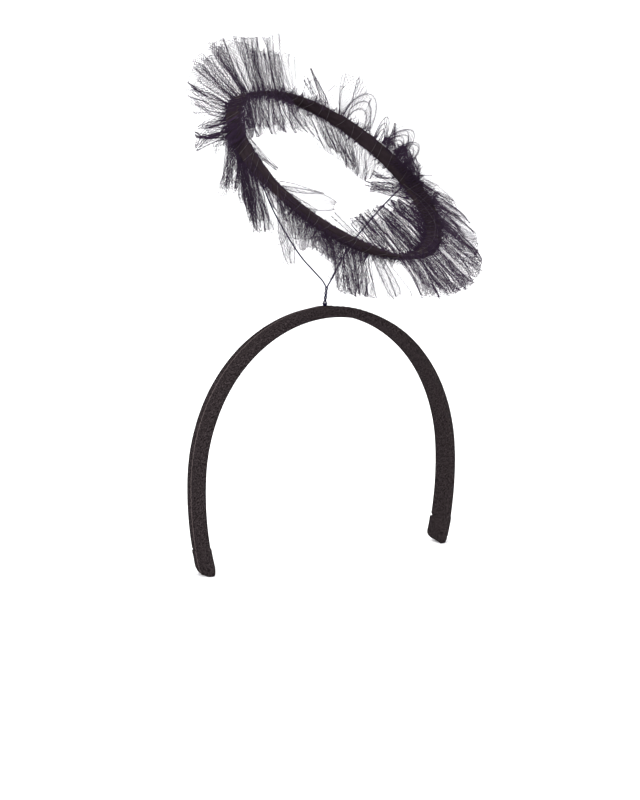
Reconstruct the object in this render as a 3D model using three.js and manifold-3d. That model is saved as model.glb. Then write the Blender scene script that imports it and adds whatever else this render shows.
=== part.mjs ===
import * as THREE from 'three';
import { mergeVertices } from 'three/addons/utils/BufferGeometryUtils.js';
import Module from 'manifold-3d';

const wasm = await Module();
wasm.setup();

// Driving sizes in millimetres and degrees
// Zero is under the middle of the band, +Z up as worn, -Y the wearer's front
const bandWidth = 12.5;
const bandThick = 4.8;
const crownRadius = 71.3;
const crownEnd = 60.6;
const sideRadius = 79.1;
const sideEnd = 86.2;
const legRadius = 142;
const legEnd = 105.8;
const capLength = 12;
const capSwell = 0.3;
const capWall = 1.1;
const fit = 0.3;
const stemHeight = 14.2;
const stemAside = 0.5;
const stemLean = 0.7;
const wireThick = 0.76;
const twistPitch = 2.2;
const knotWidth = 2.4;
const knotHeight = 1.4;
const hoopRadius = 58;
const hoopTilt = 39.8;
const hoopHeading = 25;
const hoopAside = 4.2;
const hoopForward = 3;
const hoopRise = 69.4;
const ribbonWidth = 8.2;
const ribbonThick = 1.6;
const tulleThick = 1;
const tulleReach = 30;
const foldDepth = 2.2;
const rootFold = 0.27;
const stemBump = 0.5;
const stemBumpLength = 7;

const rad = THREE.MathUtils.degToRad;
const lerp = THREE.MathUtils.lerp;

// Closed solid from rings of points, each ring the same length
function loft(rings, closed) {
  const count = rings[0].length;
  const points = rings.flat();
  const faces = [];
  const last = closed ? rings.length : rings.length - 1;
  for (let i = 0; i < last; i += 1) {
    const a = i * count;
    const b = ((i + 1) % rings.length) * count;
    for (let k = 0; k < count; k += 1) {
      const n = (k + 1) % count;
      faces.push(a + k, a + n, b + n, a + k, b + n, b + k);
    }
  }
  if (!closed) {
    const end = (rings.length - 1) * count;
    for (let k = 0; k < count / 2 - 1; k += 1) {
      const m = count - 1 - k;
      faces.push(k, m, k + 1, m, m - 1, k + 1);
      faces.push(end + k, end + k + 1, end + m, end + m, end + k + 1, end + m - 1);
    }
  }
  return meshData(points, faces);
}

// Turns a shell inside out where its volume comes out negative
function meshData(points, faces) {
  let volume = 0;
  for (let i = 0; i < faces.length; i += 3) {
    const [a, b, c] = [points[faces[i]], points[faces[i + 1]], points[faces[i + 2]]];
    volume += a.dot(new THREE.Vector3().crossVectors(b, c));
  }
  if (volume < 0) {
    for (let i = 0; i < faces.length; i += 3) {
      [faces[i + 1], faces[i + 2]] = [faces[i + 2], faces[i + 1]];
    }
  }
  const shape = new THREE.BufferGeometry();
  const places = new Float32Array(points.length * 3);
  points.forEach((p, i) => p.toArray(places, i * 3));
  shape.setAttribute('position', new THREE.BufferAttribute(places, 3));
  shape.setIndex(faces);
  return shape;
}

function toSolid(shape) {
  const mesh = new wasm.Mesh({
    numProp: 3,
    vertProperties: new Float32Array(shape.attributes.position.array),
    triVerts: new Uint32Array(shape.index.array),
  });
  mesh.merge();
  return new wasm.Manifold(mesh);
}

function fromSolid(solid) {
  const mesh = solid.getMesh();
  const shape = new THREE.BufferGeometry();
  shape.setAttribute('position', new THREE.BufferAttribute(mesh.vertProperties, 3));
  shape.setIndex(new THREE.BufferAttribute(mesh.triVerts, 1));
  return shape;
}

// Half of the band from the crown down one leg: angle and place of each station
const bandArcs = [
  { radius: crownRadius, end: crownEnd },
  { radius: sideRadius, end: sideEnd },
  { radius: legRadius, end: legEnd },
];

function bandLength() {
  let start = 0;
  let total = 0;
  for (const arc of bandArcs) {
    total += arc.radius * rad(arc.end - start);
    start = arc.end;
  }
  return total;
}

// Station on the underside of the band, run is the distance from the crown along it
function station(run) {
  const side = Math.sign(run) || 1;
  let left = Math.abs(run);
  let start = 0;
  let x = 0;
  let z = 0;
  for (const arc of bandArcs) {
    const turn = Math.min(left / arc.radius, rad(arc.end) - start);
    x += arc.radius * (Math.sin(start + turn) - Math.sin(start));
    z -= arc.radius * (Math.cos(start) - Math.cos(start + turn));
    left -= turn * arc.radius;
    start += turn;
    if (left < 1e-9) break;
  }
  return { x: x * side, z, angle: start * side };
}

// Half section of the padded band: share of half width, share of thickness
const bandSection = [
  { across: -0.94, up: 0 },
  { across: 0.94, up: 0 },
  { across: 1, up: 0.13 },
  { across: 1, up: 0.5 },
  { across: 0.94, up: 0.74 },
  { across: 0.76, up: 0.9 },
  { across: 0.4, up: 0.98 },
  { across: 0, up: 1 },
  { across: -0.38, up: 0.985 },
  { across: -0.46, up: 0.915 },
  { across: -0.78, up: 0.86 },
  { across: -0.94, up: 0.68 },
  { across: -1, up: 0.46 },
  { across: -1, up: 0.13 },
];

// Section at a station, grown outwards by swell on every side
function bandRing(run, swell, width, bump) {
  const s = station(run);
  const middle = bandThick / 2;
  return bandSection.map((p) => {
    const sideways = p.across * (width / 2 + swell);
    const raised = p.up > 0.4 ? bump : 0;
    const height = middle + (p.up * bandThick - middle) * (1 + swell / middle) + raised * p.up;
    return new THREE.Vector3(
      s.x + Math.sin(s.angle) * height,
      -sideways,
      s.z + Math.cos(s.angle) * height,
    );
  });
}

const half = bandLength();
const capStart = half - capLength;
const tangSwell = -capWall;

// Stations down one leg: distance along, swell of the section
function tangStations(grow) {
  return [
    { run: capStart, swell: tangSwell + grow },
    { run: half - capWall - fit + grow, swell: tangSwell + grow },
  ];
}

function makeHeadband() {
  const steps = 30;
  const runs = [];
  for (let i = -steps; i <= steps; i += 1) {
    runs.push({ run: (i / steps) * (capStart - fit), swell: 0 });
  }
  const tang = tangStations(0).map((t) => ({ run: t.run, swell: t.swell }));
  tang[0].run = capStart - fit + 0.02;
  const left = tang.map((t) => ({ run: -t.run, swell: t.swell })).reverse();
  const all = [...left, ...runs, ...tang];
  const rings = all.map((r) => {
    const near = Math.max(0, 1 - Math.abs(r.run) / stemBumpLength);
    return bandRing(r.run, r.swell, bandWidth, stemBump * near);
  });
  return loft(rings, false);
}

// Turned-in cloth end that wraps the tip of a leg
const capShape = [
  { along: 0, swell: 0.55 },
  { along: 0.12, swell: 1 },
  { along: 0.7, swell: 1 },
  { along: 0.88, swell: 0.2 },
  { along: 0.97, swell: -1.6 },
  { along: 1, swell: -3.2 },
];

function makeCap(side) {
  const outer = capShape.map((c) => {
    const run = capStart + c.along * (capLength + capSwell);
    return bandRing(side * run, c.swell * capSwell, bandWidth, 0);
  });
  const core = tangStations(fit);
  core[0].run -= 1;
  const inner = core.map((c) => bandRing(side * c.run, c.swell, bandWidth, 0));
  const body = toSolid(loft(outer, false));
  return fromSolid(body.subtract(toSolid(loft(inner, false))));
}

// Round binding where the wires leave the cloth
const knotShape = [
  { out: 0, up: 0 },
  { out: 0.8, up: 0 },
  { out: 1, up: 0.25 },
  { out: 0.86, up: 0.5 },
  { out: 0.98, up: 0.72 },
  { out: 0.62, up: 1 },
  { out: 0, up: 1 },
];
const knotBase = bandThick + stemBump + fit;

function makeKnot() {
  const profile = knotShape.map((k) => {
    return new THREE.Vector2((k.out * knotWidth) / 2, knotBase + k.up * knotHeight);
  });
  const shape = new THREE.LatheGeometry(profile, 12);
  shape.rotateX(Math.PI / 2);
  shape.translate(stemAside, -stemAside / 2, 0);
  return clean(shape);
}

function clean(shape) {
  shape.deleteAttribute('normal');
  shape.deleteAttribute('uv');
  return mergeVertices(shape, 1e-4);
}

const hoopCentre = new THREE.Vector3(hoopAside, -hoopForward, hoopRise);

// Hoop frame: across is level to the wearer's left, back is up its slope
const heading = rad(hoopHeading);
const tilt = rad(hoopTilt);
const hoopUp = new THREE.Vector3(
  Math.sin(heading) * Math.sin(tilt),
  -Math.cos(heading) * Math.sin(tilt),
  Math.cos(tilt),
);
const hoopAcross = new THREE.Vector3(Math.cos(heading), Math.sin(heading), 0);
const hoopBack = new THREE.Vector3().crossVectors(hoopUp, hoopAcross);

// Point from the hoop's own turn, distance out and height
function hoopPoint(turn, out, up) {
  const t = rad(turn);
  return hoopCentre.clone()
    .addScaledVector(hoopAcross, Math.cos(t) * out)
    .addScaledVector(hoopBack, Math.sin(t) * out)
    .addScaledVector(hoopUp, up);
}

// Smooth value between rows of a table round the hoop
function round(table, turn, key) {
  const t = ((turn % 360) + 360) % 360;
  let i = table.findIndex((row) => row.turn > t);
  if (i < 0) i = 0;
  const next = table[i];
  const prev = table[(i + table.length - 1) % table.length];
  const span = (next.turn - prev.turn + 360) % 360;
  const share = ((t - prev.turn + 360) % 360) / span;
  return lerp(prev[key], next[key], (1 - Math.cos(share * Math.PI)) / 2);
}

// Lean of the ribbon's top edge away from the middle of the hoop
const ribbonRoll = [
  { turn: 10, roll: 0 },
  { turn: 50, roll: 2 },
  { turn: 85, roll: -42 },
  { turn: 108, roll: -40 },
  { turn: 150, roll: 0 },
  { turn: 190, roll: 36 },
  { turn: 225, roll: 30 },
  { turn: 262, roll: 50 },
  { turn: 290, roll: 58 },
  { turn: 325, roll: 30 },
];

const ribbonSection = [
  { up: -1, out: -0.35 },
  { up: -0.93, out: -1 },
  { up: 0, out: -0.86 },
  { up: 0.93, out: -1 },
  { up: 1, out: -0.35 },
  { up: 1, out: 0.35 },
  { up: 0.93, out: 1 },
  { up: 0, out: 0.86 },
  { up: -0.93, out: 1 },
  { up: -1, out: 0.35 },
];

// Place beside the ribbon: along its width and through its thickness
function ribbonPoint(turn, wide, thick) {
  const roll = rad(round(ribbonRoll, turn, 'roll'));
  const out = hoopRadius + Math.sin(roll) * wide + Math.cos(roll) * thick;
  const up = Math.cos(roll) * wide - Math.sin(roll) * thick;
  return { out, up };
}

function makeHoop() {
  const steps = 72;
  const rings = [];
  for (let i = 0; i < steps; i += 1) {
    const turn = (i / steps) * 360;
    rings.push(ribbonSection.map((p) => {
      const q = ribbonPoint(turn, (p.up * ribbonWidth) / 2, (p.out * ribbonThick) / 2);
      return hoopPoint(turn, q.out, q.up);
    }));
  }
  return loft(rings, true);
}

// Route of each wire above the stem: share of the reach, share of the climb
const leftRoute = [
  { reach: 0.05, climb: 0.074 },
  { reach: 0.116, climb: 0.175 },
  { reach: 0.3, climb: 0.42 },
  { reach: 0.56, climb: 0.665 },
  { reach: 0.8, climb: 0.86 },
  { reach: 1, climb: 1 },
];
const rightRoute = [
  { reach: 0.052, climb: 0.06 },
  { reach: 0.112, climb: 0.103 },
  { reach: 0.24, climb: 0.192 },
  { reach: 0.325, climb: 0.25 },
  { reach: 0.472, climb: 0.373 },
  { reach: 0.8, climb: 0.714 },
  { reach: 1, climb: 1 },
];
const wires = [
  { name: 'wire_arm_left', phase: 0, turn: 348, route: leftRoute },
  { name: 'wire_arm_right', phase: 180, turn: 172, route: rightRoute },
];
const wireBase = knotBase + knotHeight + fit;
const twistRadius = wireThick / 2 + 0.23;

function makeWire(wire) {
  const points = [];
  const climb = stemHeight - wireBase;
  const turns = Math.round(climb / twistPitch);
  const steps = turns * 8;
  const target = ribbonPoint(wire.turn, -ribbonWidth / 2 - fit - wireThick / 2, 0);
  const end = hoopPoint(wire.turn, target.out, target.up);
  const facing = Math.atan2(end.y, end.x);
  for (let i = 0; i <= steps; i += 1) {
    const angle = facing + (i / steps - 1) * turns * Math.PI * 2;
    const z = wireBase + (i / steps) * climb;
    const aside = stemAside + (i / steps) * stemLean;
    points.push(new THREE.Vector3(
      aside + Math.cos(angle) * twistRadius,
      -aside / 2 + Math.sin(angle) * twistRadius,
      z,
    ));
  }
  const start = points[points.length - 1];
  for (const step of wire.route) {
    points.push(new THREE.Vector3(
      lerp(start.x, end.x, step.reach),
      lerp(start.y, end.y, step.reach),
      lerp(start.z, end.z, step.climb),
    ));
  }
  const path = new THREE.CatmullRomCurve3(points, false, 'centripetal');
  const section = new THREE.Shape();
  for (let k = 0; k < 6; k += 1) {
    const a = (k / 6) * Math.PI * 2;
    const x = (Math.cos(a) * wireThick) / 2;
    const y = (Math.sin(a) * wireThick) / 2;
    if (k === 0) section.moveTo(x, y);
    else section.lineTo(x, y);
  }
  section.closePath();
  const options = { steps: steps * 2 + 8, bevelEnabled: false, extrudePath: path };
  return clean(new THREE.ExtrudeGeometry(section, options));
}

// Lean of the net round the hoop at its full reach, in degrees
const outerLean = [
  { turn: 0, lean: 2 },
  { turn: 30, lean: 6 },
  { turn: 80, lean: 0 },
  { turn: 120, lean: 0 },
  { turn: 136, lean: 10 },
  { turn: 150, lean: 34 },
  { turn: 178, lean: 44 },
  { turn: 205, lean: 26 },
  { turn: 225, lean: 14 },
  { turn: 265, lean: 10 },
  { turn: 300, lean: 0 },
];
const innerLean = [
  { turn: 0, lean: 8 },
  { turn: 25, lean: -4 },
  { turn: 70, lean: 0 },
  { turn: 130, lean: 0 },
  { turn: 160, lean: 60 },
  { turn: 200, lean: 54 },
  { turn: 228, lean: -6 },
  { turn: 240, lean: -24 },
  { turn: 254, lean: -14 },
  { turn: 270, lean: -7 },
  { turn: 290, lean: 2 },
  { turn: 320, lean: 8 },
];

// Gathered net standing outwards: edge of the ribbon, then tip reach out and up as shares
const outerTufts = [
  { turn: 5, span: 12, edge: 1, out: 0.28, up: 0.34, pleats: 3 },
  { turn: 20, span: 14, edge: 1, out: 0.22, up: 0.5, pleats: 2 },
  { turn: 36, span: 14, edge: 1, out: 0.28, up: 0.66, pleats: 3 },
  { turn: 51, span: 13, edge: 1, out: 0.36, up: 0.54, pleats: 3 },
  { turn: 67, span: 13, edge: -1, out: 0.93, up: 0.68, pleats: 4 },
  { turn: 81, span: 13, edge: -1, out: 0.92, up: 0.48, pleats: 4 },
  { turn: 95, span: 13, edge: -1, out: 0.96, up: 0.34, pleats: 4 },
  { turn: 109, span: 13, edge: -1, out: 0.9, up: 0.06, pleats: 4 },
  { turn: 122, span: 11, edge: -1, out: 0.66, up: -0.18, pleats: 3 },
  { turn: 134, span: 9, edge: -1, out: 0.4, up: -0.36, pleats: 3 },
  { turn: 145, span: 10, edge: -1, out: 0.02, up: -0.58, pleats: 3 },
  { turn: 159, span: 14, edge: -1, out: -0.06, up: -0.6, pleats: 4 },
  { turn: 183, span: 12, edge: -1, out: 0.06, up: -0.36, pleats: 3 },
  { turn: 197, span: 13, edge: -1, out: 0.13, up: -0.42, pleats: 4 },
  { turn: 212, span: 14, edge: -1, out: 0.2, up: -0.42, pleats: 4 },
  { turn: 227, span: 13, edge: -1, out: 0.42, up: -0.58, pleats: 4 },
  { turn: 240, span: 12, edge: -1, out: 0.48, up: -0.46, pleats: 3 },
  { turn: 256, span: 14, edge: 1, out: 0.68, up: -0.25, pleats: 4 },
  { turn: 272, span: 15, edge: 1, out: 0.86, up: -0.1, pleats: 4 },
  { turn: 288, span: 15, edge: 1, out: 0.95, up: -0.03, pleats: 4 },
  { turn: 304, span: 15, edge: 1, out: 0.84, up: 0, pleats: 4 },
  { turn: 320, span: 14, edge: 1, out: 0.64, up: 0.06, pleats: 4 },
  { turn: 335, span: 13, edge: 1, out: 0.38, up: 0.03, pleats: 3 },
  { turn: 350, span: 14, edge: 1, out: 0.16, up: 0.2, pleats: 4 },
];

// Gathered net lying over the opening of the hoop
const innerTufts = [
  { turn: 3, span: 13, edge: -1, out: -0.28, up: -0.48, pleats: 3 },
  { turn: 18, span: 15, edge: -1, out: -0.25, up: -0.48, pleats: 3 },
  { turn: 34, span: 15, edge: -1, out: -0.22, up: -0.4, pleats: 3 },
  { turn: 50, span: 14, edge: -1, out: -0.36, up: -0.36, pleats: 3 },
  { turn: 66, span: 14, edge: 1, out: -0.67, up: -0.43, pleats: 4 },
  { turn: 82, span: 15, edge: 1, out: -0.7, up: -0.43, pleats: 4 },
  { turn: 98, span: 14, edge: 1, out: -0.67, up: -0.5, pleats: 3 },
  { turn: 114, span: 14, edge: 1, out: -0.5, up: -0.37, pleats: 2 },
  { turn: 164, span: 7, edge: 1, out: -0.26, up: 0.1, pleats: 1 },
  { turn: 190, span: 10, edge: 1, out: -0.36, up: 0.24, pleats: 1 },
  { turn: 238, span: 13, edge: 1, out: -0.4, up: 0.14, pleats: 3 },
  { turn: 254, span: 14, edge: -1, out: -0.88, up: 0, pleats: 3 },
  { turn: 270, span: 15, edge: -1, out: -0.95, up: 0, pleats: 3 },
  { turn: 287, span: 15, edge: -1, out: -0.92, up: 0.06, pleats: 3 },
  { turn: 303, span: 14, edge: -1, out: -0.8, up: 0.12, pleats: 3 },
  { turn: 318, span: 13, edge: -1, out: -0.62, up: 0.04, pleats: 3 },
  { turn: 333, span: 12, edge: -1, out: -0.5, up: -0.06, pleats: 3 },
];

// Rows down one tuft: share of length, depth of the folds, share of the width
const tuftRows = [
  { along: 0, fold: 0.11, wide: 0.97 },
  { along: 0.16, fold: 0.25, wide: 0.96 },
  { along: 0.55, fold: 0.7, wide: 0.95 },
  { along: 1, fold: 1, wide: 0.9 },
];

function makeTuft(tuft, leans) {
  const columns = tuft.pleats * 2 + 1;
  const share = Math.hypot(tuft.out, tuft.up);
  const reach = share * tulleReach;
  const outDir = tuft.out / share;
  const upDir = tuft.up / share;
  const layers = [[], []];
  const roll = rad(round(ribbonRoll, tuft.turn, 'roll'));
  const across = Math.abs(outDir * Math.cos(roll) - upDir * Math.sin(roll));
  const lift = fit + across * (rootFold + tulleThick / 2);
  for (const row of tuftRows) {
    for (const [k, layer] of layers.entries()) {
      const line = [];
      for (let c = 0; c < columns; c += 1) {
        const turn = tuft.turn + (c / (columns - 1) - 0.5) * row.wide * tuft.span;
        const root = ribbonPoint(turn, tuft.edge * (ribbonWidth / 2 + lift), 0);
        const pitch = ((hoopRadius + outDir * row.along * reach) * rad(tuft.span)) / (columns - 1);
        const fold = (c % 2 ? 1 : -1) * Math.min(row.fold * foldDepth, pitch);
        const notch = row.along === 1 ? 1 - 0.07 * ((c * 7 + tuft.pleats) % 3) : 1;
        const along = row.along * reach * notch;
        const aside = fold + (k ? -0.5 : 0.5) * tulleThick;
        const out = root.out + outDir * along - upDir * aside;
        const up = root.up + upDir * along + outDir * aside;
        const lean = (round(leans, turn, 'lean') * along) / tulleReach;
        line.push(hoopPoint(turn + lean, out, up));
      }
      layer.push(line);
    }
  }
  const [front, back] = layers;
  const rings = front.map((line, i) => [...line, ...back[i].slice().reverse()]);
  return loft(rings, false);
}

const cloth = { color: 0x322d2f, roughness: 0.62, metalness: 0 };
const ribbonLook = { color: 0x2a2628, roughness: 0.7, metalness: 0 };
const wireLook = { color: 0x1c1d2b, roughness: 0.35, metalness: 0.6 };
const tulleLook = { color: 0x47434b, roughness: 0.85, metalness: 0 };

function addPiece(group, name, shape, look) {
  const piece = new THREE.Mesh(shape, new THREE.MeshStandardMaterial(look));
  piece.name = name;
  group.add(piece);
}

const group = new THREE.Group();
group.name = 'halo_headband';
addPiece(group, 'headband', makeHeadband(), cloth);
addPiece(group, 'tip_cover_left', makeCap(1), cloth);
addPiece(group, 'tip_cover_right', makeCap(-1), cloth);
addPiece(group, 'stem_knot', makeKnot(), wireLook);
for (const wire of wires) addPiece(group, wire.name, makeWire(wire), wireLook);
addPiece(group, 'halo_ring', makeHoop(), ribbonLook);
outerTufts.forEach((tuft, i) => {
  const name = `tulle_outer_${String(i + 1).padStart(2, '0')}`;
  addPiece(group, name, makeTuft(tuft, outerLean), tulleLook);
});
innerTufts.forEach((tuft, i) => {
  const name = `tulle_inner_${String(i + 1).padStart(2, '0')}`;
  addPiece(group, name, makeTuft(tuft, innerLean), tulleLook);
});

export default group;
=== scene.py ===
import math

import bpy
import numpy as np
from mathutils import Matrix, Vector


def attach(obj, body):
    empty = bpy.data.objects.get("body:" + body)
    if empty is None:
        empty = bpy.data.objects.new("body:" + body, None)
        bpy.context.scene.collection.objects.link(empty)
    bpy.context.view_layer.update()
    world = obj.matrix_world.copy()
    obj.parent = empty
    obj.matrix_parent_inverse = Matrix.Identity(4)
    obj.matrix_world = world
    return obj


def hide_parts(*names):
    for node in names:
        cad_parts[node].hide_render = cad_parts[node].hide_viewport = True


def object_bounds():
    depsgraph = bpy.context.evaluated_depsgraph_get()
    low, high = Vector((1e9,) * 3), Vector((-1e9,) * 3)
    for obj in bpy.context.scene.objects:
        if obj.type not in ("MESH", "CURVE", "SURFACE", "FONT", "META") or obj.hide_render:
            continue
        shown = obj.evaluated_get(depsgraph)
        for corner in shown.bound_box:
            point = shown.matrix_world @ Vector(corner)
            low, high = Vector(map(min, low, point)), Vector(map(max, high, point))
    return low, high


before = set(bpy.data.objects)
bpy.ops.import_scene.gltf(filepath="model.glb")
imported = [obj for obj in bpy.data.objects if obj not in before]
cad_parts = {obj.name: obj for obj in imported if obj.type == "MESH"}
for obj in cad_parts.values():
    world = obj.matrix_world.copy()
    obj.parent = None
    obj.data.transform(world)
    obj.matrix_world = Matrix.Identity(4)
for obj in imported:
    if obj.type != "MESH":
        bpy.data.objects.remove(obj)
cadLow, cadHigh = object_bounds()
mm = 0.001
print("stage: frame loaded")


# Sockets with arithmetic, so that a pattern reads as a sum
class Wire:
    def __init__(self, board, socket):
        self.board = board
        self.socket = socket

    def maths(self, way, *others):
        return self.board.make("ShaderNodeMath", {"operation": way}, [self, *others])

    def __add__(self, other):
        return self.maths("ADD", other)

    def __radd__(self, other):
        return self.maths("ADD", other)

    def __sub__(self, other):
        return self.maths("SUBTRACT", other)

    def __rsub__(self, other):
        return self.board.make("ShaderNodeMath", {"operation": "SUBTRACT"}, [other, self])

    def __mul__(self, other):
        return self.maths("MULTIPLY", other)

    def __truediv__(self, other):
        return self.maths("DIVIDE", other)


# One material and the nodes on its board
class Board:
    def __init__(self, name):
        self.material = bpy.data.materials.new(name)
        self.material.use_nodes = True
        self.tree = self.material.node_tree
        self.surface = self.tree.nodes["Principled BSDF"]

    def make(self, kind, settings=None, values=(), out=0):
        node = self.tree.nodes.new(kind)
        for key, value in (settings or {}).items():
            setattr(node, key, value)
        pairs = values.items() if isinstance(values, dict) else enumerate(values)
        for key, value in pairs:
            if isinstance(value, Wire):
                self.tree.links.new(value.socket, node.inputs[key])
            else:
                node.inputs[key].default_value = value
        return Wire(self, node.outputs[out])

    def mix(self, share, first, second):
        return self.make("ShaderNodeMix", {"data_type": "RGBA"}, {0: share, 6: first, 7: second}, out=2)

    def set(self, key, value):
        if isinstance(value, Wire):
            self.tree.links.new(value.socket, self.surface.inputs[key])
        else:
            self.surface.inputs[key].default_value = value

    def bump(self, height, strength, distance):
        values = {"Strength": strength, "Distance": distance, "Height": height}
        self.set("Normal", self.make("ShaderNodeBump", None, values))


def addMesh(name, points, faces, material, smooth=True, flat=None):
    points = np.asarray(points, np.float32).reshape(-1, 3) * mm
    faces = np.asarray(faces, np.int32)
    mesh = bpy.data.meshes.new(name)
    mesh.vertices.add(len(points))
    mesh.vertices.foreach_set("co", points.ravel())
    mesh.loops.add(faces.size)
    mesh.loops.foreach_set("vertex_index", faces.ravel())
    mesh.polygons.add(len(faces))
    mesh.polygons.foreach_set("loop_start", np.arange(len(faces), dtype=np.int32) * faces.shape[1])
    mesh.update(calc_edges=True)
    mesh.polygons.foreach_set("use_smooth", np.full(len(faces), smooth))
    if flat is not None:
        layer = mesh.uv_layers.new(name="cloth")
        uv = np.asarray(flat, np.float32).reshape(-1, 2)[faces.ravel()]
        layer.data.foreach_set("uv", uv.ravel())
    mesh.validate()
    piece = bpy.data.objects.new(name, mesh)
    bpy.context.scene.collection.objects.link(piece)
    mesh.materials.append(material)
    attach(piece, "root")
    return piece


# Faces between rows of points
def gridFaces(rows, columns, closedRows=False, closedColumns=True):
    r = np.arange(rows if closedRows else rows - 1)[:, None]
    c = np.arange(columns if closedColumns else columns - 1)[None, :]
    a = r * columns + c
    b = r * columns + (c + 1) % columns
    d = ((r + 1) % rows) * columns + c
    e = ((r + 1) % rows) * columns + (c + 1) % columns
    return np.stack([a, b, e, d], -1).reshape(-1, 4)


# Faces that fill the first and the last row
def endFaces(rows, columns):
    k = np.arange(columns // 2 - 1)
    m = columns - 1 - k
    low = np.stack([k, m, m - 1, k + 1], -1)
    high = np.stack([k, k + 1, m - 1, m], -1) + (rows - 1) * columns
    return np.concatenate([low, high])


def unit(v):
    return v / np.maximum(np.linalg.norm(v, axis=-1, keepdims=True), 1e-9)


# Round or three-sided threads along rows of points, shape (threads, points, 3)
def threadMesh(lines, radius, sides=3):
    lines = np.asarray(lines, float)
    count, steps = lines.shape[:2]
    along = unit(np.gradient(lines, axis=1))
    aside = np.cross(along, [0.31, -0.27, 0.91])
    aside = unit(aside)
    other = np.cross(along, aside)
    radius = np.broadcast_to(np.asarray(radius, float), (count, steps))[..., None]
    turns = np.arange(sides) * 2 * math.pi / sides
    rings = [lines + radius * (aside * math.cos(t) + other * math.sin(t)) for t in turns]
    points = np.stack(rings, 2)
    quads = gridFaces(steps, sides)
    faces = quads[None] + (np.arange(count) * steps * sides)[:, None, None]
    return points.reshape(-1, 3), faces.reshape(-1, 4)


def joined(parts):
    points, faces, start = [], [], 0
    for p, f in parts:
        points.append(np.asarray(p).reshape(-1, 3))
        faces.append(np.asarray(f) + start)
        start += len(points[-1])
    return np.concatenate(points), np.concatenate(faces)


# Smooth value between rows of a table round the hoop
def roundTable(rows, turn):
    turns = np.array([r[0] for r in rows], float)
    values = np.array([r[1] for r in rows], float)
    t = np.mod(turn, 360)
    k = np.searchsorted(turns, t, side="right")
    nextRow = k % len(turns)
    lastRow = (k - 1) % len(turns)
    span = np.mod(turns[nextRow] - turns[lastRow], 360)
    share = np.mod(t - turns[lastRow], 360) / span
    ease = (1 - np.cos(share * math.pi)) / 2
    return values[lastRow] * (1 - ease) + values[nextRow] * ease


# The band: three arcs from the crown down each leg
band = {
    "width": 12.5,
    "thick": 4.8,
    "arcs": ((71.3, 60.6), (79.1, 86.2), (142.0, 105.8)),
    "capLength": 12.0,
    "capSwell": 0.3,
    "bump": 0.5,
    "bumpLength": 7.0,
    "overlap": 3.0,  # length that runs on under each tip
    "tuck": 0.55,  # how much thinner it is there
    "ripple": 0.07,
    "pucker": 0.1,
    "stations": 420,
}
# Section: share of half width, share of thickness
bandTop = (
    (1.0, 0.13), (1.005, 0.3), (1.0, 0.48), (0.975, 0.62), (0.925, 0.75), (0.85, 0.85), (0.74, 0.915),
    (0.58, 0.955), (0.4, 0.975), (0.22, 0.985), (0.12, 0.995), (0.07, 1.02), (0.02, 1.04), (-0.025, 1.025),
    (-0.05, 0.97), (-0.07, 0.935), (-0.12, 0.94), (-0.2, 0.965), (-0.32, 0.97), (-0.44, 0.95), (-0.56, 0.92),
    (-0.68, 0.87), (-0.79, 0.8), (-0.88, 0.72), (-0.945, 0.62), (-0.985, 0.5), (-1.0, 0.35), (-1.0, 0.13),
)
bandUnder = (
    (-0.985, 0.06), (-0.93, 0.0), (-0.5, 0.012), (0.0, 0.018), (0.5, 0.012), (0.93, 0.0), (0.985, 0.06),
)


# Running distance across the cloth at each point of the section
def sectionRun():
    section = np.array(bandTop + bandUnder)
    steps = np.hypot(np.diff(section[:, 0]) * band["width"] / 2, np.diff(section[:, 1]) * band["thick"])
    return np.concatenate([[0], np.cumsum(steps)])


seamAcross = float(np.interp(-0.02, -np.array(bandTop)[:, 0], sectionRun()[:len(bandTop)])) * mm


# Looks
def clothLook():
    b = Board("band_cloth")
    uv = b.make("ShaderNodeUVMap", {"uv_map": "cloth"})
    fine = b.make("ShaderNodeMapping", None, {0: uv, 2: (0, 0, 0.6), 3: (1700, 1250, 1)})
    grain = b.make("ShaderNodeTexNoise", None, {"Vector": fine, "Scale": 1.0, "Detail": 1.0})
    wide = b.make("ShaderNodeMapping", None, {0: uv, 3: (420, 620, 1)})
    mottle = b.make("ShaderNodeTexNoise", None, {"Vector": wide, "Scale": 1.0, "Detail": 3.0})
    split = b.make("ShaderNodeSeparateXYZ", None, [uv])
    alongCloth = Wire(b, split.socket.node.outputs[1])
    ribs = (alongCloth * (2 * math.pi / 0.00062)).maths("SINE") * 0.5 + 0.5
    dark = (0.0052, 0.0038, 0.0042, 1)
    light = (0.047, 0.0375, 0.0395, 1)
    share = (mottle - 0.5) * 0.8 + 0.38 + (grain - 0.5) * 2.6
    # Painted highlight along the turned edge of the seam, with a painted shade line in the groove below it
    offEdge = (split - seamAcross) / 0.00045
    paintedEdgeHighlight = (1 - offEdge * offEdge).maths("MAXIMUM", 0.0)
    offGroove = (split - seamAcross - 0.0009) / 0.0004
    paintedGrooveShade = (1 - offGroove * offGroove).maths("MAXIMUM", 0.0)
    cloth = b.mix(share.maths("MAXIMUM", 0.0).maths("MINIMUM", 1.0), dark, light)
    # Mixes a lighter colour in along the turned edge: a painted highlight
    cloth = b.mix(paintedEdgeHighlight * (0.2 + mottle), cloth, (0.1, 0.08, 0.08, 1))
    # Mixes a near-black in along the groove: painted shade
    b.set("Base Color", b.mix(paintedGrooveShade * 0.8, cloth, (0.0012, 0.0009, 0.0009, 1)))
    b.set("Roughness", 0.62 + (mottle - 0.5) * 0.3)
    b.set("Specular IOR Level", 0.0)
    b.bump(ribs * 0.55 + grain * 0.8 + mottle * 0.8, 0.5, 0.00014)
    return b.material


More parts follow.
